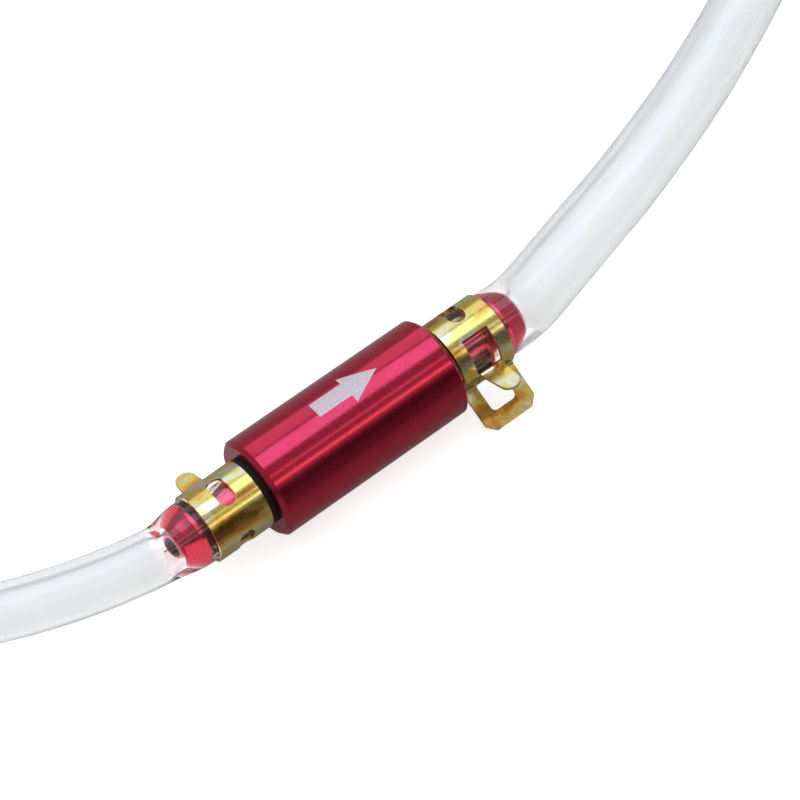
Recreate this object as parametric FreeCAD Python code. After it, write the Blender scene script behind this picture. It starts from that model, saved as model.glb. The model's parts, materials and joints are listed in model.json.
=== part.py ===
"""Inline fuel filter for small engines, hosed and clamped at both ends.

+X is the direction of flow, +Z is up. The filter's axis runs along X at AXIS_Z,
over the origin, and the filter stands on the frame tangs of its two clamps.
An angle about the axis is in degrees, from +Y towards +Z.
"""
import FreeCAD
import Part
import math
import os

from FreeCAD import Vector

# --- driving dimensions, in millimetres ---------------------------------------
BODY_R = 7.5
BODY_HALF = 15.65            # half the body's length, face to face
BODY_CHAMFER = 0.6
FLOW_BORE_R = 1.5

BARB_TIP_X = 29.2            # from the middle of the body
BARB_NECK_R = 3.0
BARB_RIDGE_R = 3.5
BARB_RIDGES = (18.4, 22.0)   # where each ridge's steep shoulder stands
NOSE_X = 25.8

CHAMBER_R = 5.6              # the bore that the element sits in
CHAMBER_START = -12.65
THREAD_PITCH = 1.0
THREAD_TURNS = 5
THREAD_START = 9.65
THREAD_CREST_R = 5.98        # of the body's thread
THREAD_DEPTH = 0.5
THREAD_GAP = 0.05            # running clearance of the cap's thread

CAP_NOSE_START = 7.2
O_RING_X = 8.35

O_RING_SECTION_R = 0.49      # squeezed into its groove
O_RING_GAP = 0.03            # to the chamber's wall
O_RING_GROOVE_HALF = 0.7
O_RING_GROOVE_DEPTH = 1.0
SPANNER_HOLE_R = 0.6
SPANNER_HOLE_DEPTH = 1.5
SPANNER_HOLES_Y = 4.6        # each side of the axis
SPRING_POCKET_R = 3.4
SPRING_POCKET_END = 8.0

ARROW_LENGTH = 10.6
ARROW_SHAFT = 2.6
ARROW_HEAD = 5.0
ARROW_HEAD_LENGTH = 5.2
ARROW_START = -4.4
ARROW_DEPTH = 0.08
ARROW_ANGLE = 101.0

ELEMENT_BORE_R = 2.1         # through its seal and its open end
SEAL_GAP = 0.03              # between the seal and its seat
SEAL_THICK = 0.77
SEAL_R = 4.4
END_CAP_THICK = 1.0
END_CAP_RIM = 0.8            # the rim rolled over the mesh
END_CAP_R = 4.9
BOSS = (2.1, 1.7, 1.6)       # root radius, tip radius and height, inside the spring
MESH_LENGTH = 11.5
MESH_R = 4.3
MESH_WALL = 0.15
MESH_GAP = 0.02              # rim to mesh
CORE_R = 4.1
CORE_WALL = 0.45
CORE_WINDOW_R = 0.65
CORE_ROWS = 5
CORE_ROW_PITCH = 1.9
SPRING_R = 2.7
SPRING_WIRE = 0.5
SPRING_TURNS = 4
SPRING_GAP = 0.03            # between the coil and the element's closed end

STOP_RING_START = 15.68
STOP_RING_R = 5.1
HOSE_START = 16.35           # the hose's end, against the stop ring
ROUTE_START = 27.1           # the stretched part of the hose ends here
RUN_SHARE = 0.45             # of the shorter run, taken by the arc at a corner
INLET_HOSE_R = 4.0
INLET_HOSE_BORE = 2.5
OUTLET_HOSE_R = 5.0
OUTLET_HOSE_BORE = 3.5
RUNNING_GAP = 0.04           # barb to hose, where the cap turns in the hose

CLAMP_START = 16.45
CLAMP_WIDTH = 8.6
CLAMP_THICK = 0.45
CLAMP_GAP = 0.06             # clamp to hose
CLAMP_BEND = 0.5             # inner radius where a tang leaves the ring
TANG_ANGLE = 225.0           # the frame tang
TANG_TIP_R = 12.2
TANG_CHAMFER = 1.3
WINDOW_HALF = 2.15
WINDOW_TIP_R = 9.8
WINDOW_START_ANGLE = 117.0
TONGUE_HALF = 1.9
TONGUE_TIP_HALF = 1.5
TONGUE_TIP_Y = -11.2
TONGUE_BEND_ANGLE = 195.5
SLOT_HALF = 1.25
SLOT_ANGLES = (46.0, 103.0)
REAR_SLOT_ANGLES = (-60.0, -3.0)
HINGE_ANGLE = 4.0            # the band flexes here
HINGE_SPLIT = 0.04

# Where the parts of the element lie along the axis, from its seat.
SEAL_START = CHAMBER_START + SEAL_GAP
SEAL_END = SEAL_START + SEAL_THICK
MESH_START = SEAL_END + END_CAP_THICK
MESH_END = MESH_START + MESH_LENGTH
ELEMENT_END = MESH_END + END_CAP_THICK

AXIS_Z = TANG_TIP_R * math.sin(math.radians(45.0)) + CLAMP_THICK / 2 * math.cos(math.radians(45.0))

# The hoses' routes beyond the barbs: x, y and height of each corner.
INLET_ROUTE = [
    (-27.1, 0.0, AXIS_Z), (-30.3, 0.0, AXIS_Z), (-32.9, 0.35, 8.78), (-35.9, 1.2, 8.75),
    (-39.9, 2.6, 8.7), (-44.4, 4.45, 8.65), (-48.9, 6.65, 8.6), (-53.6, 9.5, 8.5), (-59.7, 13.8, 8.2),
    (-68.3, 20.6, 7.4), (-78.8, 29.7, 6.1), (-91.1, 41.4, 4.8), (-103.0, 53.4, 4.0),
    (-112.7, 63.99, 4.0),
]
OUTLET_ROUTE = [
    (27.1, 0.0, AXIS_Z), (30.5, 0.0, AXIS_Z), (33.2, 0.45, 8.78), (36.5, 1.5, 8.75), (41.4, 3.4, 8.7),
    (47.6, 5.6, 8.6), (55.8, 8.4, 8.3), (66.6, 13.0, 7.7), (79.0, 18.9, 6.8), (93.9, 27.1, 5.8),
    (110.2, 36.7, 5.0), (125.13, 46.18, 5.0),
]


def polar(radius, angle, x=0.0):
    """A point about the X axis."""
    turn = math.radians(angle)
    return Vector(x, radius * math.cos(turn), radius * math.sin(turn))


def lathe(outline):
    """A solid of revolution about X, from (x, radius) corners."""
    points = [Vector(x, radius, 0) for x, radius in outline]
    face = Part.Face(Part.makePolygon(points + points[:1]))
    return face.revolve(Vector(0, 0, 0), Vector(1, 0, 0), 360)


def ring(x_low, x_high, r_inner, r_outer):
    """A plain tube about the X axis."""
    return lathe([(x_low, r_inner), (x_high, r_inner), (x_high, r_outer), (x_low, r_outer)])


def on_axis(shape):
    """Lift a shape made about X to the filter's axis."""
    shape.translate(Vector(0, 0, AXIS_Z))
    return shape


def turned(shape):
    """The same shape for the inlet end: half a turn about Z."""
    copy = shape.copy()
    copy.rotate(Vector(0, 0, 0), Vector(0, 0, 1), 180)
    return copy


def save(name, shape):
    shape = shape.removeSplitter()
    state = "valid" if shape.isValid() else "INVALID"
    print(f"{name:26s} {state} solids {len(shape.Solids)} volume {shape.Volume:9.2f}")
    shape.exportStep(f"parts/{name}.step")


# --- body and cap ---------------------------------------------------------------
def barb_outline(back_x):
    """Outer outline of a hose barb, from the wall behind it out to its tip."""
    outline = [(back_x, BARB_NECK_R)]
    ends = list(BARB_RIDGES[1:]) + [NOSE_X]
    for shoulder, following in zip(BARB_RIDGES, ends):
        outline += [(shoulder, BARB_NECK_R), (shoulder, BARB_RIDGE_R)]
        outline += [(shoulder + 0.4, BARB_RIDGE_R), (following - 1.1, BARB_NECK_R)]
    outline += [(NOSE_X, BARB_NECK_R), (NOSE_X, BARB_RIDGE_R), (NOSE_X + 0.5, BARB_RIDGE_R)]
    outline += [(28.0, 2.75), (28.7, 2.4), (29.05, 2.1), (BARB_TIP_X, 1.8)]
    return outline


def thread_outline(crest, depth_sign):
    """Ring-shaped thread teeth, from the thread's start to its end."""
    outline = []
    for turn in range(THREAD_TURNS):
        start = THREAD_START + 0.4 + turn * THREAD_PITCH
        outline += [(start, crest), (start + 0.45, crest + depth_sign * THREAD_DEPTH)]
        outline += [(start + 0.55, crest + depth_sign * THREAD_DEPTH), (start + THREAD_PITCH, crest)]
    return outline


def filter_shell():
    """Cylinder with its inlet barb in one piece, threaded open at the outlet end."""
    barb = [(-x, radius) for x, radius in barb_outline(BODY_HALF - 0.5)]
    outline = [
        (-BODY_HALF, BODY_R - BODY_CHAMFER), (-BODY_HALF + BODY_CHAMFER, BODY_R),
        (BODY_HALF - BODY_CHAMFER, BODY_R), (BODY_HALF, BODY_R - BODY_CHAMFER),
    ]
    threads = thread_outline(THREAD_CREST_R, 1)
    inside = [(BODY_HALF, THREAD_CREST_R)] + threads[::-1] + [(THREAD_START, THREAD_CREST_R)]
    inside += [(THREAD_START, CHAMBER_R), (CHAMBER_START, CHAMBER_R), (CHAMBER_START, FLOW_BORE_R)]
    body = lathe(outline + inside + [(-BODY_HALF, FLOW_BORE_R)])
    stub = lathe(barb + [(-BARB_TIP_X, FLOW_BORE_R), (-BODY_HALF + 0.5, FLOW_BORE_R)])
    return body.fuse(stub)


def outlet_cap():
    """Plug with the outlet barb, a threaded skirt, a sealing nose and two spanner holes."""
    crest = THREAD_CREST_R - THREAD_GAP
    nose_r = CHAMBER_R - THREAD_GAP
    groove_r = CHAMBER_R - O_RING_GROOVE_DEPTH
    groove = (O_RING_X - O_RING_GROOVE_HALF, O_RING_X + O_RING_GROOVE_HALF)
    outline = [
        (CAP_NOSE_START, nose_r), (groove[0], nose_r), (groove[0], groove_r),
        (groove[1], groove_r), (groove[1], nose_r), (THREAD_START + 0.05, nose_r),
        (THREAD_START + 0.05, crest - 0.3), (THREAD_START + 0.35, crest),
    ]
    outline += thread_outline(crest, -1)
    outline += [(BODY_HALF - 0.1, crest), (BODY_HALF, crest - 0.1), (BODY_HALF, BARB_NECK_R)]
    outline += barb_outline(BODY_HALF)[1:]
    spring_pocket = [
        (SPRING_POCKET_END, FLOW_BORE_R), (SPRING_POCKET_END, SPRING_POCKET_R),
        (CAP_NOSE_START, SPRING_POCKET_R),
    ]
    cap = lathe(outline + [(BARB_TIP_X, FLOW_BORE_R)] + spring_pocket)
    for side in (-1, 1):
        bottom = Vector(BODY_HALF - SPANNER_HOLE_DEPTH, side * SPANNER_HOLES_Y, 0)
        hole = Part.makeCylinder(SPANNER_HOLE_R, 2 * SPANNER_HOLE_DEPTH, bottom, Vector(1, 0, 0))
        cap = cap.cut(hole)
    return cap


def cap_o_ring():
    middle_r = CHAMBER_R - O_RING_GAP - O_RING_SECTION_R
    return Part.makeTorus(middle_r, O_RING_SECTION_R, Vector(O_RING_X, 0, 0), Vector(1, 0, 0))


# --- flow arrow -----------------------------------------------------------------


def flow_arrow():
    """Arrow wrapped on the body, from an upright prism cut to a thin skin."""
    tip = ARROW_START + ARROW_LENGTH
    neck = tip - ARROW_HEAD_LENGTH
    outline = [
        (ARROW_START, -ARROW_SHAFT / 2), (neck, -ARROW_SHAFT / 2), (neck, -ARROW_HEAD / 2),
        (tip, 0), (neck, ARROW_HEAD / 2), (neck, ARROW_SHAFT / 2), (ARROW_START, ARROW_SHAFT / 2),
    ]
    points = [Vector(x, y, 5.0) for x, y in outline]
    prism = Part.Face(Part.makePolygon(points + points[:1])).extrude(Vector(0, 0, 4))
    prism.rotate(Vector(0, 0, 0), Vector(1, 0, 0), ARROW_ANGLE - 90)
    return prism.common(ring(-12, 12, BODY_R - ARROW_DEPTH, BODY_R))


# --- filter element ---------------------------------------------------------------


def element_seal():
    return ring(SEAL_START, SEAL_END, ELEMENT_BORE_R, SEAL_R)


def element_inlet_cap():
    """Dished ring with a rolled rim that holds the mesh's end."""
    rim = ring(MESH_START, MESH_START + END_CAP_RIM, MESH_R + MESH_GAP, END_CAP_R)
    return ring(SEAL_END, MESH_START, ELEMENT_BORE_R, END_CAP_R).fuse(rim)


def element_outlet_cap():
    """Closed disc with a rolled rim, and a boss that centres the spring."""
    rim = ring(MESH_END - END_CAP_RIM, MESH_END, MESH_R + MESH_GAP, END_CAP_R)
    disc = Part.makeCylinder(END_CAP_R, END_CAP_THICK, Vector(MESH_END, 0, 0), Vector(1, 0, 0))
    boss = Part.makeCone(*BOSS, Vector(ELEMENT_END, 0, 0), Vector(1, 0, 0))
    return disc.fuse(rim).fuse(boss)


def element_mesh():
    return ring(MESH_START, MESH_END, MESH_R - MESH_WALL, MESH_R)


def element_core():
    """Tube that backs the mesh, with rows of round windows."""
    core = ring(MESH_START, MESH_END, CORE_R - CORE_WALL, CORE_R)
    first = (MESH_START + MESH_END - (CORE_ROWS - 1) * CORE_ROW_PITCH) / 2
    for row in range(CORE_ROWS):
        for place in range(4):
            angle = place * 45 + (row % 2) * 22.5
            start = polar(-MESH_R, angle, first + row * CORE_ROW_PITCH)
            core = core.cut(Part.makeCylinder(CORE_WINDOW_R, 2 * MESH_R, start, polar(1, angle)))
    return core


def element_spring():
    """Coil between the element's closed end and the pocket in the outlet cap, in quarter turns."""
    start = ELEMENT_END + SPRING_GAP + SPRING_WIRE / 2
    length = SPRING_POCKET_END - SPRING_WIRE / 2 - start
    quarters = 4 * SPRING_TURNS

    def point(quarter):
        return polar(SPRING_R, 90 * quarter, start + length * quarter / quarters)

    arcs = [Part.Arc(point(i), point(i + 0.5), point(i + 1)).toShape() for i in range(quarters)]
    section = Part.makeCircle(SPRING_WIRE / 2, point(0), arcs[0].tangentAt(arcs[0].FirstParameter))
    return Part.Wire(arcs).makePipeShell([Part.Wire(section)], True, False)


# --- hoses ----------------------------------------------------------------------
def cuff(route, hose_r, bore_r, gap):
    """Hose end on its barb, stretched over the ridges, out to where the hose starts to bend."""
    bore = BARB_RIDGE_R + gap
    outer = math.sqrt(BARB_RIDGE_R ** 2 + hose_r ** 2 - bore_r ** 2)
    end = ROUTE_START + (1 - RUN_SHARE) * abs(route[1][0] - route[0][0])
    outline = [(HOSE_START, bore), (ROUTE_START - 0.4, bore), (end, bore_r)]
    outline += [(end, hose_r), (ROUTE_START, outer), (HOSE_START, outer)]
    return lathe(outline), outer


def rounded_path(points):
    """Straight runs joined by tangent arcs, and each arc's radius."""
    corners = [Vector(*point) for point in points]
    edges = []
    radii = []
    here = corners[0]
    for before, corner, after in zip(corners, corners[1:], corners[2:]):
        inward = (corner - before).normalize()
        outward = (after - corner).normalize()
        cut = RUN_SHARE * min(corner.distanceToPoint(before), corner.distanceToPoint(after))
        half_turn = inward.getAngle(outward) / 2
        radii.append(cut / math.tan(half_turn))
        start = corner - inward * cut
        end = corner + outward * cut
        bisector = (outward - inward).normalize()
        middle = corner + bisector * (radii[-1] / math.cos(half_turn) - radii[-1])
        edges.append(Part.LineSegment(here, start).toShape())
        edges.append(Part.Arc(start, middle, end).toShape())
        here = end
    edges.append(Part.LineSegment(here, corners[-1]).toShape())
    return Part.Wire(edges), radii


def save_hose(name, route, hose_r, bore_r):
    """The bent tube, and its straight open end as a piece of its own."""
    path, radii = rounded_path(route)
    straight, bent, last = path.Edges[0], Part.Wire(path.Edges[1:-1]), path.Edges[-1]
    start = straight.valueAt(straight.LastParameter)
    tubes = []
    for radius in (hose_r, bore_r):
        section = Part.Wire(Part.makeCircle(radius, start, start - Vector(*route[0])))
        tubes.append(bent.makePipeShell([section], True, False))
    tube = tubes[0].cut(tubes[1])
    mouth = Vector(*route[-1])
    heading = (mouth - Vector(*route[-2])).normalize()
    base = mouth - heading * last.Length
    end = Part.makeCylinder(hose_r, last.Length, base, heading)
    end = end.cut(Part.makeCylinder(bore_r, last.Length, base, heading))
    length = path.Length + ROUTE_START - HOSE_START
    wanted = math.pi * (hose_r ** 2 - bore_r ** 2) * bent.Length
    print(f"{name}: length {length:.1f}, volume {tube.Volume:.0f} of {wanted:.0f},"
          f" end {last.Length:.2f}, radii {[round(radius) for radius in radii]}")
    save(name, tube)
    save(name + "_end", end)


# --- clamps ---------------------------------------------------------------------
def sector(r_inner, r_outer, start, end, x_low, x_high):
    """Part of a ring about X between two angles."""
    middle = (start + end) / 2
    edges = [
        Part.Arc(polar(r_outer, start, x_low), polar(r_outer, middle, x_low),
                 polar(r_outer, end, x_low)).toShape(),
        Part.LineSegment(polar(r_outer, end, x_low), polar(r_inner, end, x_low)).toShape(),
        Part.Arc(polar(r_inner, end, x_low), polar(r_inner, middle, x_low),
                 polar(r_inner, start, x_low)).toShape(),
        Part.LineSegment(polar(r_inner, start, x_low), polar(r_outer, start, x_low)).toShape(),
    ]
    return Part.Face(Part.Wire(edges)).extrude(Vector(x_high - x_low, 0, 0))


def bend(centre, start, end, x_low, x_high):
    """The strip's bend between the ring and a tang, about its own centre."""
    piece = sector(CLAMP_BEND, CLAMP_BEND + CLAMP_THICK, start, end, x_low, x_high)
    piece.translate(Vector(0, centre.y, centre.z))
    return piece


def radial_prism(outline, angle, r_low, r_high):
    """Outline of (x, distance round the ring) pushed outward at an angle."""
    points = [Vector(x, -along, r_low) for x, along in outline]
    prism = Part.Face(Part.makePolygon(points + points[:1])).extrude(Vector(0, 0, r_high - r_low))
    prism.rotate(Vector(0, 0, 0), Vector(1, 0, 0), angle - 90)
    return prism


def round_slot(middle, angles, r_mid):
    """Cutter for a slot with round ends that runs round the ring."""
    inset = math.degrees(math.asin(SLOT_HALF / r_mid))
    low, high = angles[0] + inset, angles[1] - inset
    cutter = sector(3.0, 7.5, low, high, middle - SLOT_HALF, middle + SLOT_HALF)
    for angle in (low, high):
        end = Part.makeCylinder(SLOT_HALF, 4.5, polar(3.0, angle, middle), polar(1, angle))
        cutter = cutter.fuse(end)
    return cutter


def rounded_box(x_half, low, high, thick, corner):
    """Box about x = 0 that runs along +Y from low to high, its far corners rounded."""
    box = Part.makeBox(2 * x_half, high - low, thick, Vector(-x_half, low, -thick / 2))
    far = [edge for edge in box.Edges
           if abs(edge.BoundBox.YMin - high) < 0.01 and edge.BoundBox.ZLength > thick / 2]
    return box.makeFillet(corner, far)


def clamp_frame_half(r_inner):
    """Half of the band, with the windowed tang and one slot."""
    r_outer = r_inner + CLAMP_THICK
    middle = CLAMP_START + CLAMP_WIDTH / 2
    x_low, x_high = CLAMP_START, CLAMP_START + CLAMP_WIDTH
    centre_r = r_outer + CLAMP_BEND
    lean = math.degrees(math.asin((CLAMP_BEND + CLAMP_THICK / 2) / centre_r))
    bend_angle = TANG_ANGLE - lean
    ring_part = sector(r_inner, r_outer, HINGE_ANGLE, bend_angle, x_low, x_high)
    bend_part = bend(polar(centre_r, bend_angle), TANG_ANGLE + 90, bend_angle + 180, x_low, x_high)
    plate_base = centre_r * math.cos(math.radians(lean))
    outline = [
        (x_low, plate_base), (x_low, TANG_TIP_R - TANG_CHAMFER), (x_low + TANG_CHAMFER, TANG_TIP_R),
        (x_high - TANG_CHAMFER, TANG_TIP_R), (x_high, TANG_TIP_R - TANG_CHAMFER), (x_high, plate_base),
    ]
    points = [Vector(x, out, -CLAMP_THICK / 2) for x, out in outline]
    plate = Part.Face(Part.makePolygon(points + points[:1])).extrude(Vector(0, 0, CLAMP_THICK))
    plate.rotate(Vector(0, 0, 0), Vector(1, 0, 0), TANG_ANGLE)
    half = ring_part.fuse([bend_part, plate])

    tang_window = rounded_box(WINDOW_HALF, 3.0, WINDOW_TIP_R, 3.4, 0.8)
    tang_window.rotate(Vector(0, 0, 0), Vector(1, 0, 0), TANG_ANGLE)
    ring_window = sector(3.0, 7.0, WINDOW_START_ANGLE + 12, TANG_ANGLE - 4, -WINDOW_HALF, WINDOW_HALF)
    window_end = rounded_box(WINDOW_HALF, 0.0, 1.3, 4.0, 0.8)
    window_end.rotate(Vector(0, 0, 0), Vector(1, 0, 0), 180)
    window_end.translate(Vector(0, 0, 5.0))
    window_end.rotate(Vector(0, 0, 0), Vector(1, 0, 0), WINDOW_START_ANGLE + 13 - 90)
    window = tang_window.fuse([ring_window, window_end])
    window.translate(Vector(middle, 0, 0))
    return half.cut(window).cut(round_slot(middle, SLOT_ANGLES, r_inner + CLAMP_THICK / 2))


def clamp_tongue_half(r_inner):
    """Half of the band, with one slot, narrowing to the tongue that fits the window."""
    r_outer = r_inner + CLAMP_THICK
    middle = CLAMP_START + CLAMP_WIDTH / 2
    x_low, x_high = CLAMP_START, CLAMP_START + CLAMP_WIDTH
    centre_r = r_outer + CLAMP_BEND
    split = math.degrees(HINGE_SPLIT / r_outer)
    taper_start, taper_end = -72.0, -112.0
    wide = sector(r_inner, r_outer, taper_end, HINGE_ANGLE - split, x_low, x_high)
    reach = (r_inner + CLAMP_THICK / 2) * math.tan(math.radians(20))
    for side in (-1, 1):
        edge = CLAMP_WIDTH / 2
        outline = [
            (middle + side * edge, reach), (middle + side * TONGUE_HALF, -reach - 0.05),
            (middle + side * (edge + 1), -reach - 0.6), (middle + side * (edge + 1), reach),
        ]
        wide = wide.cut(radial_prism(outline, (taper_start + taper_end) / 2, 3.0, 8.0))
    tongue_low, tongue_high = middle - TONGUE_HALF, middle + TONGUE_HALF
    narrow = sector(r_inner, r_outer, TONGUE_BEND_ANGLE - 360, taper_end, tongue_low, tongue_high)
    centre = polar(centre_r, TONGUE_BEND_ANGLE)
    bend_part = bend(centre, TONGUE_BEND_ANGLE - 180, 90, tongue_low, tongue_high)

    shoulder_y = TONGUE_TIP_Y + TONGUE_TIP_HALF
    bottom = centre.z + CLAMP_BEND
    corners = [Vector(middle + half, y, bottom) for half, y in (
        (TONGUE_HALF, centre.y), (TONGUE_TIP_HALF, shoulder_y),
        (-TONGUE_TIP_HALF, shoulder_y), (-TONGUE_HALF, centre.y))]
    tip = Vector(middle, TONGUE_TIP_Y, bottom)
    edges = [
        Part.LineSegment(corners[0], corners[1]).toShape(),
        Part.Arc(corners[1], tip, corners[2]).toShape(),
        Part.LineSegment(corners[2], corners[3]).toShape(),
        Part.LineSegment(corners[3], corners[0]).toShape(),
    ]
    plate = Part.Face(Part.Wire(edges)).extrude(Vector(0, 0, CLAMP_THICK))
    half = wide.fuse([narrow, bend_part, plate])
    return half.cut(round_slot(middle, REAR_SLOT_ANGLES, r_inner + CLAMP_THICK / 2))


# --- assembly -------------------------------------------------------------------
def main():
    os.makedirs("parts", exist_ok=True)
    arrow = flow_arrow()
    save("filter_shell", on_axis(filter_shell().cut(arrow)))
    save("flow_arrow", on_axis(arrow))
    save("outlet_cap", on_axis(outlet_cap()))
    save("cap_o_ring", on_axis(cap_o_ring()))
    save("element_seal", on_axis(element_seal()))
    save("element_inlet_cap", on_axis(element_inlet_cap()))
    save("element_core", on_axis(element_core()))
    save("element_mesh", on_axis(element_mesh()))
    save("element_outlet_cap", on_axis(element_outlet_cap()))
    save("element_spring", on_axis(element_spring()))

    stop_ring = ring(STOP_RING_START, HOSE_START, BARB_NECK_R + RUNNING_GAP, STOP_RING_R)
    save("outlet_stop_ring", on_axis(stop_ring.copy()))
    save("inlet_stop_ring", on_axis(turned(stop_ring)))

    inlet_cuff, inlet_outer = cuff(INLET_ROUTE, INLET_HOSE_R, INLET_HOSE_BORE, 0.0)
    outlet_cuff, outlet_outer = cuff(OUTLET_ROUTE, OUTLET_HOSE_R, OUTLET_HOSE_BORE, RUNNING_GAP)
    save("inlet_hose_cuff", on_axis(turned(inlet_cuff)))
    save("outlet_hose_cuff", on_axis(outlet_cuff))
    save_hose("inlet_hose", INLET_ROUTE, INLET_HOSE_R, INLET_HOSE_BORE)
    save_hose("outlet_hose", OUTLET_ROUTE, OUTLET_HOSE_R, OUTLET_HOSE_BORE)

    inlet_band = inlet_outer + CLAMP_GAP
    outlet_band = outlet_outer + CLAMP_GAP
    save("inlet_clamp_frame_half", on_axis(turned(clamp_frame_half(inlet_band))))
    save("inlet_clamp_tongue_half", on_axis(turned(clamp_tongue_half(inlet_band))))
    save("outlet_clamp_frame_half", on_axis(clamp_frame_half(outlet_band)))
    save("outlet_clamp_tongue_half", on_axis(clamp_tongue_half(outlet_band)))
    for name, band in (("inlet", inlet_band), ("outlet", outlet_band)):
        print(f"{name} clamp hinge at y {(band + CLAMP_THICK) * math.cos(math.radians(HINGE_ANGLE)):.4f},"
              f" z {AXIS_Z + (band + CLAMP_THICK) * math.sin(math.radians(HINGE_ANGLE)):.4f}")
    print(f"axis height {AXIS_Z:.4f}")


main()
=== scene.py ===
"""Looks of a small inline fuel filter with a clear hose and a spring band clamp on each barb.

The filter lies along X with its flow towards +X, and the hoses bend away towards +Y. Metres throughout.
"""

import json
import math

import bmesh
import bpy
from mathutils import Matrix, Vector


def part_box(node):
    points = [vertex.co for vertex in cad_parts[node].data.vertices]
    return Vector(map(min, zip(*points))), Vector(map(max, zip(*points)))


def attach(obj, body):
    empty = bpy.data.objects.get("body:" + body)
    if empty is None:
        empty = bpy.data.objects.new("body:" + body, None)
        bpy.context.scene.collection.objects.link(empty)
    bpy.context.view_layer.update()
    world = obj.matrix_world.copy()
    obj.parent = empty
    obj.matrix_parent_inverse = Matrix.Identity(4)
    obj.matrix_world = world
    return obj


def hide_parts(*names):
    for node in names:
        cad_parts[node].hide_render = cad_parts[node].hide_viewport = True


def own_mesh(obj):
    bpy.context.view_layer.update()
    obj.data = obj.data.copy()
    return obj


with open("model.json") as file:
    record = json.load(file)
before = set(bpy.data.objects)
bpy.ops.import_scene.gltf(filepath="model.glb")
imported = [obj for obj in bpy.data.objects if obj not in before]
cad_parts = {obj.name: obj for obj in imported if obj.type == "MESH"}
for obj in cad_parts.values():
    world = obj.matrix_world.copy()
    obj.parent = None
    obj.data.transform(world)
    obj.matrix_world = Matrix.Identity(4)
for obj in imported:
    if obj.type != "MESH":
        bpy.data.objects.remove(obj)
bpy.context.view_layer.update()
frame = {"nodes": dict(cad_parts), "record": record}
nodes = frame["nodes"]

MM = 0.001
PER_MM = 1000.0

# --- sizes taken from the frame ---

shell_low, shell_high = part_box("filter_shell")
AXIS_Z = (shell_low.z + shell_high.z) / 2
NOSE_TIP = -shell_low.x                    # distance of a barb's tip from the middle of the body
HOSE_START = -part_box("inlet_hose_cuff")[1].x

# --- hoses: route, wall and what they are stretched over ---

BARB_RIDGE = 3.5 * MM
RIDGE_PITCH = 3.6 * MM
FIRST_RIDGE = 18.4 * MM
RIDGE_BEFORE = 0.1 * MM                    # the bore is pressed onto a ridge from this far before it
RIDGE_AFTER = 1.3 * MM                     # to this far past its start
NOSE_START = 25.8 * MM
NOSE_OUTLINE = (                           # (x, radius) corners of a barb's nose, out to its tip
    (NOSE_START, BARB_RIDGE),
    (26.3 * MM, BARB_RIDGE),
    (28.0 * MM, 2.75 * MM),
    (28.7 * MM, 2.4 * MM),
    (29.05 * MM, 2.1 * MM),
)
PRESSED = 0.05 * MM                        # the hose's bore dips this far into what it grips
SAGGED = 0.15 * MM                         # between the ridges it is this much inside them
NOSE_GRIP = 0.2 * MM                       # it starts to close on the nose this far before it
OPENING = 0.1 * MM                         # and to open again this far before the barb's tip
RELAXED = 32.5 * MM                        # distance from the middle where the bore has its own size
SHOULDER = 0.6 * MM                        # the outside starts to narrow this far past the nose's start
SETTLED = 31.5 * MM                        # distance from the middle where it has its own size
SWELL = 0.02 * MM                          # a faint bulge over the nose
SWELL_PLACE = 0.4 * MM                     # its middle, past the nose's start
SWELL_REACH = 0.7 * MM
MOUTH = 0.25 * MM                          # the cut ends are barely rounded, over this length
MOUTH_WEAR = 0.12 * MM                     # and by this much
AROUND = 72                                # points around a hose
UV_PER_METRE = 10.0                        # along a hose, from where it turns milky

INLET_ROUTE = [
    (-HOSE_START, 0, AXIS_Z),
    (-0.02710, 0, AXIS_Z),
    (-0.02890, 0, AXIS_Z),
    (-0.03080, 0.00010, AXIS_Z),
    (-0.03300, 0.00050, 0.00878),
    (-0.03590, 0.00130, 0.00875),
    (-0.03990, 0.00260, 0.00870),
    (-0.04440, 0.00445, 0.00865),
    (-0.04890, 0.00665, 0.00860),
    (-0.05360, 0.00950, 0.00850),
    (-0.05970, 0.01380, 0.00820),
    (-0.06830, 0.02060, 0.00740),
    (-0.07880, 0.02970, 0.00610),
    (-0.09110, 0.04140, 0.00480),
    (-0.10300, 0.05340, 0.00400),
    (-0.11270, 0.06399, 0.00400),
]
OUTLET_ROUTE = [
    (HOSE_START, 0, AXIS_Z),
    (0.02710, 0, AXIS_Z),
    (0.02890, 0, AXIS_Z),
    (0.03060, 0.00012, AXIS_Z),
    (0.03260, 0.00055, 0.00878),
    (0.03550, 0.00145, 0.00875),
    (0.04140, 0.00345, 0.00870),
    (0.04760, 0.00560, 0.00860),
    (0.05580, 0.00840, 0.00830),
    (0.06660, 0.01300, 0.00770),
    (0.07900, 0.01890, 0.00680),
    (0.09390, 0.02710, 0.00580),
    (0.11020, 0.03670, 0.00500),
    (0.12513, 0.04618, 0.00500),
]


# --- making objects ---

def placed(name, data):
    """A new object in the scene that holds data."""
    made = bpy.data.objects.new(name, data)
    bpy.context.scene.collection.objects.link(made)
    return made


def built(name, shape):
    """A new object from a bmesh, which is freed."""
    mesh = bpy.data.meshes.new(name)
    shape.to_mesh(mesh)
    shape.free()
    return placed(name, mesh)


def ring(shape, centre, side, other, radius, count):
    """Vertices on a circle round centre, in the plane of its two sides."""
    angles = (2 * math.pi * k / count for k in range(count))
    return [shape.verts.new(centre + (side * math.cos(a) + other * math.sin(a)) * radius) for a in angles]


# --- camera ---

TOWARDS_CAMERA = Vector((-0.32219241, -0.66939975, 0.66939975))
CAMERA_RIGHT = Vector((0.77830256, -0.58984591, -0.21523691))
CAMERA_UP = Vector((0.53892224, 0.45164784, 0.71103941))
CAMERA_DISTANCE = 0.420
CAMERA_LENS = 139.67
AIM_RIGHT = 7.24 * MM                      # the view's middle is this far to the right of the body's
AIM_UP = 3.65 * MM                         # and this far above it


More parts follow.
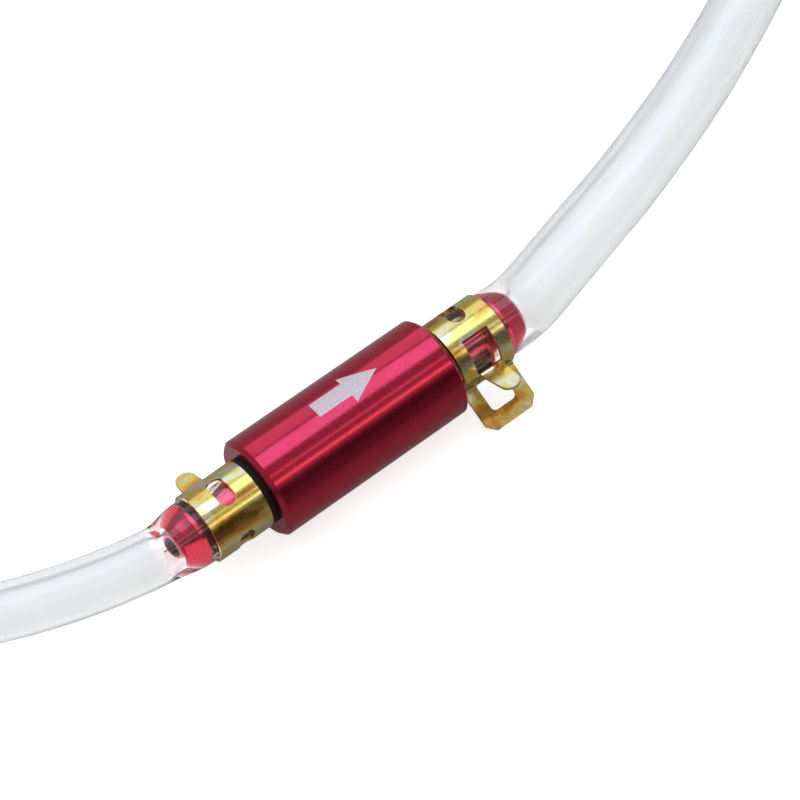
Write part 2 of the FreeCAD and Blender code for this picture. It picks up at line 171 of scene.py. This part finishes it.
def camera():
    data = bpy.data.cameras.new("camera")
    data.lens = CAMERA_LENS
    data.clip_start = 0.01
    data.clip_end = 20
    made = placed("camera", data)
    aim = Vector((0, 0, AXIS_Z)) + CAMERA_RIGHT * AIM_RIGHT + CAMERA_UP * AIM_UP
    axes = Matrix((CAMERA_RIGHT, CAMERA_UP, TOWARDS_CAMERA)).transposed().to_4x4()
    made.matrix_world = Matrix.Translation(aim + TOWARDS_CAMERA * CAMERA_DISTANCE) @ axes
    bpy.context.scene.camera = made


camera()


# --- hoses ---

def smooth_step(value, low, high):
    t = min(1.0, max(0.0, (value - low) / (high - low)))
    return t * t * (3 - 2 * t)


def hose_line(name, route):
    """Points along the smooth line that has the route's points as its control points."""
    data = bpy.data.curves.new(name + "_line", "CURVE")
    data.dimensions = "3D"
    data.resolution_u = 24
    spline = data.splines.new("NURBS")
    spline.points.add(len(route) - 1)
    for point, place in zip(spline.points, route):
        point.co = (*place, 1)
    spline.order_u = 3
    spline.use_endpoint_u = True
    holder = placed(name + "_line", data)
    bpy.context.view_layer.update()
    mesh = bpy.data.meshes.new_from_object(holder)
    line = [v.co.copy() for v in mesh.vertices]
    bpy.data.objects.remove(holder)
    bpy.data.meshes.remove(mesh)
    return line


def stations(line):
    """(centre, side, side, distance along the line) at each of its points, without twist."""
    found = []
    side = Vector((0, 0, 1))
    along = 0.0
    for i, centre in enumerate(line):
        ahead = line[min(i + 1, len(line) - 1)] - line[max(i - 1, 0)]
        heading = ahead.normalized()
        side = (side - heading * side.dot(heading)).normalized()
        if i:
            along += (centre - line[i - 1]).length
        found.append((centre, side, heading.cross(side), along))
    return found


def bore_on_barb(x, bore):
    """Inner radius of the hose: pressed onto each ridge and the nose, sagged between the ridges."""
    for start in (FIRST_RIDGE, FIRST_RIDGE + RIDGE_PITCH):
        if start - RIDGE_BEFORE < x < start + RIDGE_AFTER:
            return BARB_RIDGE - PRESSED
    if x < NOSE_START - NOSE_GRIP:
        return BARB_RIDGE - SAGGED
    for (start, first), (end, last) in zip(NOSE_OUTLINE, NOSE_OUTLINE[1:]):
        if x < end:
            share = max(0.0, (x - start) / (end - start))
            return first + (last - first) * share - PRESSED
    at_tip = NOSE_OUTLINE[-1][1] - PRESSED
    return at_tip + (bore - at_tip) * smooth_step(x, NOSE_TIP - OPENING, RELAXED)


def wall_outside(x, radius, bore, cuff):
    """Outer radius: the cuff's over the barb, with a faint swell over its nose, then the hose's own."""
    swell = SWELL * math.exp(-((x - NOSE_START - SWELL_PLACE) / SWELL_REACH) ** 2)
    return cuff + (radius - cuff) * smooth_step(x, NOSE_START + SHOULDER, SETTLED) + swell


def hose(name, route, radius, bore, clear_to, body, old):
    """A clear tube with a real wall, from its mouth on the barb to its cut-off end; milky past clear_to."""
    line = hose_line(name, route)
    rows = stations(line)
    cuff = math.sqrt(BARB_RIDGE ** 2 + radius ** 2 - bore ** 2)
    length = rows[-1][3]
    outline = []
    for row in rows:
        x = HOSE_START + row[3]
        edge = min(row[3], length - row[3]) / MOUTH
        worn = MOUTH_WEAR * max(0.0, 1 - edge) ** 2
        outline.append((row, wall_outside(x, radius, bore, cuff) - worn))
    for row in reversed(rows):
        outline.append((row, bore_on_barb(HOSE_START + row[3], bore)))
    shape = bmesh.new()
    flow = shape.loops.layers.uv.new("lengthwise")
    rings = [ring(shape, *row[:3], r, AROUND) for row, r in outline]
    count = len(rings)
    for i in range(count):
        for k in range(AROUND):
            after, beside = (i + 1) % count, (k + 1) % AROUND
            corners = (rings[i][k], rings[i][beside], rings[after][beside], rings[after][k])
            face = shape.faces.new(corners)
            face.smooth = i not in (count // 2 - 1, count - 1)
            for loop, (row, turned) in zip(face.loops, ((i, k), (i, k + 1), (after, k + 1), (after, k))):
                past = outline[row][0][3] - (clear_to - HOSE_START)
                loop[flow].uv = (turned / AROUND, past * UV_PER_METRE)
    bmesh.ops.recalc_face_normals(shape, faces=shape.faces)
    for edge in shape.edges:
        edge.smooth = all(face.smooth for face in edge.link_faces)
    made = built(name, shape)
    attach(made, body)
    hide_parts(*old)
    return made


inlet_hose = hose("inlet_clear_hose", INLET_ROUTE, radius=4.0 * MM, bore=2.5 * MM, clear_to=31.6 * MM,
                  body="filter_body", old=("inlet_hose_cuff", "inlet_hose", "inlet_hose_end"))
outlet_hose = hose("outlet_clear_hose", OUTLET_ROUTE, radius=5.0 * MM, bore=3.5 * MM, clear_to=28.4 * MM,
                   body="outlet_line", old=("outlet_hose_cuff", "outlet_hose", "outlet_hose_end"))


# --- spring: coiled as the frame's own ---

SPRING_TURNS = 4
SPRING_WIRE = 0.25 * MM                    # half the wire's thickness
STEPS_PER_TURN = 24
AROUND_WIRE = 12


def spring():
    low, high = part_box("element_spring")
    start, end = low.x + SPRING_WIRE, high.x - SPRING_WIRE
    coil = (high.z - low.z) / 2 - SPRING_WIRE
    rise = (end - start) / (2 * math.pi * SPRING_TURNS)
    steps = SPRING_TURNS * STEPS_PER_TURN
    shape = bmesh.new()
    rings = []
    for i in range(steps + 1):
        turn = 2 * math.pi * i / STEPS_PER_TURN
        out = Vector((0, math.cos(turn), math.sin(turn)))
        across = Vector((rise, -out.z * coil, out.y * coil)).normalized().cross(out)
        centre = Vector((start + (end - start) * i / steps, 0, AXIS_Z)) + out * coil
        rings.append(ring(shape, centre, out, across, SPRING_WIRE, AROUND_WIRE))
    for first, second in zip(rings, rings[1:]):
        for k in range(AROUND_WIRE):
            beside = (k + 1) % AROUND_WIRE
            shape.faces.new((first[k], first[beside], second[beside], second[k])).smooth = True
    shape.faces.new(rings[0][::-1])
    shape.faces.new(rings[-1])
    bmesh.ops.recalc_face_normals(shape, faces=shape.faces)
    made = built("coiled_spring", shape)
    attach(made, "outlet_cap")
    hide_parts("element_spring")
    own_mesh(made)
    return made


coiled_spring = spring()


# --- material tools ---

class Nodes:
    """A node tree in the making, with short names for the few kinds that are used here."""

    def __init__(self, tree):
        self.tree = tree

    def add(self, kind, inputs=None, **settings):
        node = self.tree.nodes.new(kind)
        for key, value in settings.items():
            setattr(node, key, value)
        for key, value in (inputs or {}).items():
            self.put(node.inputs[key], value)
        return node

    def put(self, socket, value):
        if isinstance(value, bpy.types.NodeSocket):
            self.tree.links.new(value, socket)
        else:
            socket.default_value = value

    def place(self, scale, source="Object", shift=0.0):
        """Coordinates on the piece, times scale, which is per millimetre, and moved along by shift."""
        coordinates = self.add("ShaderNodeTexCoord").outputs[source]
        factor = PER_MM if source == "Object" else 1.0
        stretched = tuple(s * factor for s in scale)
        inputs = {"Vector": coordinates, "Scale": stretched, "Location": (shift, shift, shift)}
        return self.add("ShaderNodeMapping", inputs).outputs[0]

    def noise(self, scale, detail=3.0, rough=0.55, source="Object", shift=0.0):
        place = self.place(scale, source, shift)
        inputs = {"Vector": place, "Scale": 1.0, "Detail": detail, "Roughness": rough}
        return self.add("ShaderNodeTexNoise", inputs).outputs["Fac"]

    def between(self, value, low, high, to_low=0.0, to_high=1.0):
        inputs = {"Value": value, "From Min": low, "From Max": high, "To Min": to_low, "To Max": to_high}
        return self.add("ShaderNodeMapRange", inputs, interpolation_type="SMOOTHSTEP").outputs[0]

    def ramp(self, value, stops):
        node = self.add("ShaderNodeValToRGB", {"Fac": value})
        band = node.color_ramp
        while len(band.elements) < len(stops):
            band.elements.new(0.5)
        for element, (place, colour) in zip(band.elements, stops):
            element.position = place
            element.color = (*colour, 1)
        return node.outputs["Color"]

    def mix(self, share, first, second):
        node = self.add("ShaderNodeMix", data_type="RGBA")
        self.put(node.inputs["Factor"], share)
        for socket, colour in ((node.inputs[6], first), (node.inputs[7], second)):
            self.put(socket, colour if isinstance(colour, bpy.types.NodeSocket) else (*colour, 1))
        return node.outputs[2]

    def sum(self, first, second, operation="ADD"):
        node = self.add("ShaderNodeMath", operation=operation)
        self.put(node.inputs[0], first)
        self.put(node.inputs[1], second)
        return node.outputs[0]

    def bump(self, height, depth_mm, strength=1.0, normal=None):
        node = self.add("ShaderNodeBump", {"Height": height, "Distance": depth_mm * MM, "Strength": strength})
        if normal is not None:
            self.put(node.inputs["Normal"], normal)
        return node.outputs["Normal"]

    def soft_edges(self, radius_mm):
        return self.add("ShaderNodeBevel", {"Radius": radius_mm * MM}, samples=4).outputs[0]


class Look(Nodes):
    """A material in the making."""

    def __init__(self, name):
        self.material = bpy.data.materials.new(name)
        self.material.use_nodes = True
        super().__init__(self.material.node_tree)
        self.surface = self.tree.nodes["Principled BSDF"]
        self.output = self.tree.nodes["Material Output"]

    def set(self, **values):
        for key, value in values.items():
            self.put(self.surface.inputs[key.replace("_", " ")], value)


def red_anodised():
    """Bright dyed aluminium with fine turning marks round it and a few short ticks."""
    look = Look("red_anodised")
    turned = look.noise((9.0, 0.03, 0.03), detail=4.0, rough=0.7)
    cloud = look.noise((0.25, 0.35, 0.35))
    tick = look.between(look.noise((5.5, 0.45, 0.45), detail=1.0), 0.70, 0.74)
    colour = look.mix(look.between(turned, 0.35, 0.65), (0.60, 0.016, 0.050), (0.68, 0.022, 0.070))
    colour = look.mix(look.between(cloud, 0.4, 0.75, 0.0, 0.35), colour, (0.50, 0.011, 0.034))
    colour = look.mix(look.sum(tick, 0.45, "MULTIPLY"), colour, (0.28, 0.006, 0.014))
    rough = look.sum(look.between(turned, 0.3, 0.7, 0.15, 0.22), look.sum(tick, 0.2, "MULTIPLY"))
    normal = look.bump(turned, 0.004, 0.5, look.soft_edges(0.12))
    normal = look.bump(tick, -0.01, 0.6, normal)
    look.set(Base_Color=colour, Metallic=1.0, Roughness=rough, Normal=normal)
    look.set(Coat_Weight=0.5, Coat_Roughness=0.1, Coat_IOR=1.5)
    return look.material


def etched_arrow():
    """Bare aluminium where the dye is cut away: matt, silvery, with a little dye left in it."""
    look = Look("etched_arrow")
    grain = look.noise((7.0, 2.5, 2.5), detail=4.0, rough=0.7)
    colour = look.ramp(grain, [
        (0.3, (0.50, 0.38, 0.42)),
        (0.55, (0.62, 0.52, 0.55)),
        (0.8, (0.73, 0.66, 0.68)),
    ])
    look.set(Base_Color=colour, Metallic=0.25, Roughness=look.between(grain, 0.3, 0.7, 0.42, 0.6))
    look.set(Normal=look.bump(grain, 0.012, 0.6))
    return look.material


# The near-black stop ring between clamp and body: partly its own rubber colour, partly painted shade, kept
# this dark to stand in for the shade in that gap.
def black_rubber():
    look = Look("black_rubber")
    grain = look.noise((5.0, 5.0, 5.0))
    look.set(Base_Color=look.ramp(grain, [(0.3, (0.005, 0.004, 0.005)), (0.8, (0.018, 0.015, 0.016))]))
    look.set(Roughness=look.between(grain, 0.3, 0.7, 0.45, 0.65), Specular_IOR_Level=0.25)
    look.set(Normal=look.bump(grain, 0.02, 0.5))
    return look.material


CLAMP_SHIFT = 3.0                          # moves the zinc's patches along, to where they look best


def yellow_zinc():
    """Chromated zinc on spring steel: gold that drifts to olive, pink and pale green in soft patches."""
    look = Look("yellow_zinc")
    drift = look.noise((0.14, 0.30, 0.30), detail=1.5, rough=0.45, shift=CLAMP_SHIFT)
    fine = look.noise((1.3, 1.3, 1.3), detail=4.0, rough=0.6)
    rolled = look.noise((6.0, 0.8, 0.8), detail=3.0)
    place = look.sum(drift, look.sum(fine, 0.10, "MULTIPLY"))
    colour = look.ramp(place, [
        (0.36, (0.46, 0.22, 0.04)),
        (0.43, (0.80, 0.40, 0.08)),
        (0.49, (0.95, 0.62, 0.16)),
        (0.55, (0.80, 0.70, 0.16)),
        (0.61, (0.93, 0.74, 0.56)),
        (0.68, (0.82, 0.86, 0.44)),
        (0.76, (0.92, 0.56, 0.14)),
    ])
    rough = look.between(fine, 0.3, 0.7, 0.14, 0.24)
    normal = look.bump(rolled, 0.003, 0.4, look.soft_edges(0.1))
    normal = look.bump(fine, 0.006, 0.25, normal)
    look.set(Base_Color=colour, Metallic=1.0, Roughness=rough, Normal=normal)
    return look.material


def bare_steel(name, tint, rough_low, rough_high, grain_scale):
    look = Look(name)
    grain = look.noise(grain_scale, detail=4.0)
    darker = tuple(c * 0.72 for c in tint)
    look.set(Base_Color=look.mix(look.between(grain, 0.35, 0.7), darker, tint), Metallic=1.0)
    look.set(Roughness=look.between(grain, 0.3, 0.7, rough_low, rough_high))
    look.set(Normal=look.bump(grain, 0.006, 0.5))
    return look.material


def steel_mesh():
    """Fine woven stainless: a small square weave across the sleeve."""
    look = Look("steel_mesh")
    across = {"Vector": look.place((1, 0, 0)), "Scale": 2.4}
    across = look.add("ShaderNodeTexWave", across, bands_direction="X")
    around = {"Vector": look.place((0, 1, 1)), "Scale": 1.6}
    around = look.add("ShaderNodeTexWave", around, bands_direction="DIAGONAL")
    weave = look.sum(across.outputs["Fac"], around.outputs["Fac"], "MULTIPLY")
    colour = look.ramp(weave, [(0.1, (0.10, 0.10, 0.11)), (0.6, (0.58, 0.58, 0.60))])
    look.set(Base_Color=colour, Metallic=1.0, Roughness=0.35, Normal=look.bump(weave, 0.05))
    return look.material


def clear_hose():
    """Soft tube: clear where the barb fills it, with a darker tint there that paints shade on the barb seen
    through it; milky and softly streaked beyond, the streaks partly real draw lines and partly painted
    highlight. Light passes through.
    """
    look = Look("clear_hose")
    draw_lines_and_highlight = look.noise((26.0, 0.6, 1.0), detail=3.0, source="UV")
    cloud = look.noise((0.12, 0.12, 0.12))
    lengthwise = look.add("ShaderNodeSeparateXYZ", {"Vector": look.place((1, 1, 1), "UV")}).outputs["Y"]
    empty = look.between(lengthwise, -1.0 * MM * UV_PER_METRE, 1.0 * MM * UV_PER_METRE)
    milky = look.mix(look.between(cloud, 0.3, 0.7), (0.862, 0.862, 0.852), (0.845, 0.848, 0.842))
    # The draw lines are also painted paler and bluish: painted highlight streaks along the tube.
    milky = look.mix(look.between(draw_lines_and_highlight, 0.4, 0.75, 0.0, 0.5), milky, (0.90, 0.91, 0.92))
    # Over the barb the hose is tinted darker and faintly pink: painted shade on the barb seen through it.
    # Past that it is milky.
    look.set(Base_Color=look.mix(empty, (0.90, 0.87, 0.87), milky), IOR=1.45)
    look.set(Transmission_Weight=look.between(empty, 0.0, 1.0, 0.99, 0.72))
    rough = look.between(draw_lines_and_highlight, 0.35, 0.7, 0.12, 0.24)
    rough = look.sum(rough, look.between(empty, 0.0, 1.0, 0.15, 1.0), "MULTIPLY")
    look.set(Roughness=rough, Normal=look.bump(draw_lines_and_highlight, 0.02, 0.5))
    shadow = look.add("ShaderNodeLightPath").outputs["Is Shadow Ray"]
    clear = look.add("ShaderNodeBsdfTransparent", {"Color": (0.93, 0.94, 0.93, 1)})
    choice = look.add("ShaderNodeMixShader")
    look.put(choice.inputs[0], shadow)
    look.put(choice.inputs[1], look.surface.outputs["BSDF"])
    look.put(choice.inputs[2], clear.outputs["BSDF"])
    look.put(look.output.inputs["Surface"], choice.outputs["Shader"])
    return look.material


LOOKS = {
    "red_anodised": red_anodised(),
    "etched_arrow": etched_arrow(),
    "black_rubber": black_rubber(),
    "yellow_zinc": yellow_zinc(),
    "zinc_steel": bare_steel("zinc_steel", (0.62, 0.63, 0.66), 0.3, 0.5, (2.0, 2.0, 2.0)),
    "perforated_steel": bare_steel("perforated_steel", (0.58, 0.58, 0.60), 0.25, 0.4, (4.0, 0.5, 0.5)),
    "steel_mesh": steel_mesh(),
    "spring_steel": bare_steel("spring_steel", (0.50, 0.49, 0.48), 0.2, 0.35, (1.0, 5.0, 5.0)),
    "clear_hose": clear_hose(),
}


def dress():
    """Gives every CAD node the finish of its material slot in the record."""
    for entry in frame["record"]["subparts"]:
        mesh = nodes[entry["node"]].data
        mesh.materials.clear()
        mesh.materials.append(LOOKS[entry["material_slot"]])
    for piece in (inlet_hose, outlet_hose):
        piece.data.materials.append(LOOKS["clear_hose"])
    coiled_spring.data.materials.append(LOOKS["spring_steel"])


dress()


# --- floor and light ---

FLOOR_HALF = 4.0
FLOOR_COLOUR = (0.62, 0.62, 0.62)
FLOOR_GLOW = 0.75
MIRRORED_SHADE_FRONT = (0.02, 0.02, 0.02)        # painted shade: the floor's darker colour in mirrored rays, in front of the part
MIRRORED_SHADE_BACK = (0.22, 0.22, 0.22)         # and behind it
MIRRORED_GLOW = 0.10
MIRRORED_EDGE = -0.05                      # the first colour turns into the second from this y to 0
ROOM_COLOUR = (0.34, 0.34, 0.345)
ROOM_LOW_FRONT = (0.07, 0.07, 0.07)
LIGHT_REACH = 0.7                          # distance of the panels from the body's axis
LIGHT_LENGTH = 1.8
LEAN = 0.34                                # the panels lie this much towards +X, per unit of reach


def floor():
    shape = bmesh.new()
    corners = [(-1, -1), (1, -1), (1, 1), (-1, 1)]
    shape.faces.new([shape.verts.new((x * FLOOR_HALF, y * FLOOR_HALF, 0)) for x, y in corners])
    made = built("floor", shape)
    look = Look("pale_floor")
    ray = look.add("ShaderNodeLightPath").outputs
    # Painted reflection: mirrored rays see the floor nearly black in front of the part and dim behind it,
    # standing in for the shade near the part; all other rays see it evenly pale and glowing.
    seen = look.sum(ray["Is Glossy Ray"], ray["Is Reflection Ray"], "MULTIPLY")
    place = look.add("ShaderNodeNewGeometry").outputs["Position"]
    split = look.add("ShaderNodeSeparateXYZ", {"Vector": place})
    behind = look.between(split.outputs["Y"], MIRRORED_EDGE, 0.0)
    mirrored = look.mix(behind, MIRRORED_SHADE_FRONT, MIRRORED_SHADE_BACK)
    look.set(Base_Color=look.mix(seen, FLOOR_COLOUR, mirrored), Roughness=0.9, Specular_IOR_Level=0.0)
    glow = look.between(seen, 0.0, 1.0, FLOOR_GLOW, MIRRORED_GLOW)
    look.set(Emission_Color=(1, 1, 1, 1), Emission_Strength=glow)
    made.data.materials.append(look.material)


def panel(name, turn, width, radiance, colour, in_gloss=True, in_diffuse=True):
    """A long soft light beside the X axis, turn degrees from +Y towards +Z, width degrees wide."""
    across = 2 * LIGHT_REACH * math.tan(math.radians(width / 2))
    data = bpy.data.lights.new(name, "AREA")
    data.shape = "RECTANGLE"
    data.size = LIGHT_LENGTH
    data.size_y = across
    data.energy = 4 * LIGHT_LENGTH * across * radiance
    data.color = colour
    made = placed(name, data)
    angle = math.radians(turn)
    out = Vector((0, math.cos(angle), math.sin(angle)))
    along = Vector((1, 0, 0))
    axes = Matrix((along, out.cross(along), out)).transposed().to_4x4()
    centre = Vector((LEAN * LIGHT_REACH, 0, AXIS_Z)) + out * LIGHT_REACH
    made.matrix_world = Matrix.Translation(centre) @ axes
    made.visible_glossy = in_gloss
    made.visible_diffuse = in_diffuse


def surroundings():
    """A dim room: even above, darker low down in front."""
    world = bpy.data.worlds.new("room")
    world.use_nodes = True
    bpy.context.scene.world = world
    room = Nodes(world.node_tree)
    where = room.add("ShaderNodeTexCoord").outputs["Generated"]
    split = room.add("ShaderNodeSeparateXYZ", {"Vector": where}).outputs
    front = room.between(split["Y"], -0.2, -0.6)
    low = room.between(split["Z"], 0.40, 0.26)
    colour = room.mix(room.sum(front, low, "MULTIPLY"), ROOM_COLOUR, ROOM_LOW_FRONT)
    room.put(world.node_tree.nodes["Background"].inputs["Color"], colour)


floor()
surroundings()
panel("main_panel", 94, 30, 0.80, (1.0, 1.5, 2.1), in_diffuse=False)
panel("back_panel", 58, 32, 0.46, (1.0, 1.15, 1.4))
panel("faint_strip", 131, 4, 0.75, (1.0, 1.0, 1.0))
panel("warm_strip", 148, 6, 1.2, (1.0, 0.9, 0.75))
panel("floor_fill", 90, 80, 0.72, (1.0, 1.0, 1.0), in_gloss=False)
bpy.context.scene.view_settings.view_transform = "Standard"
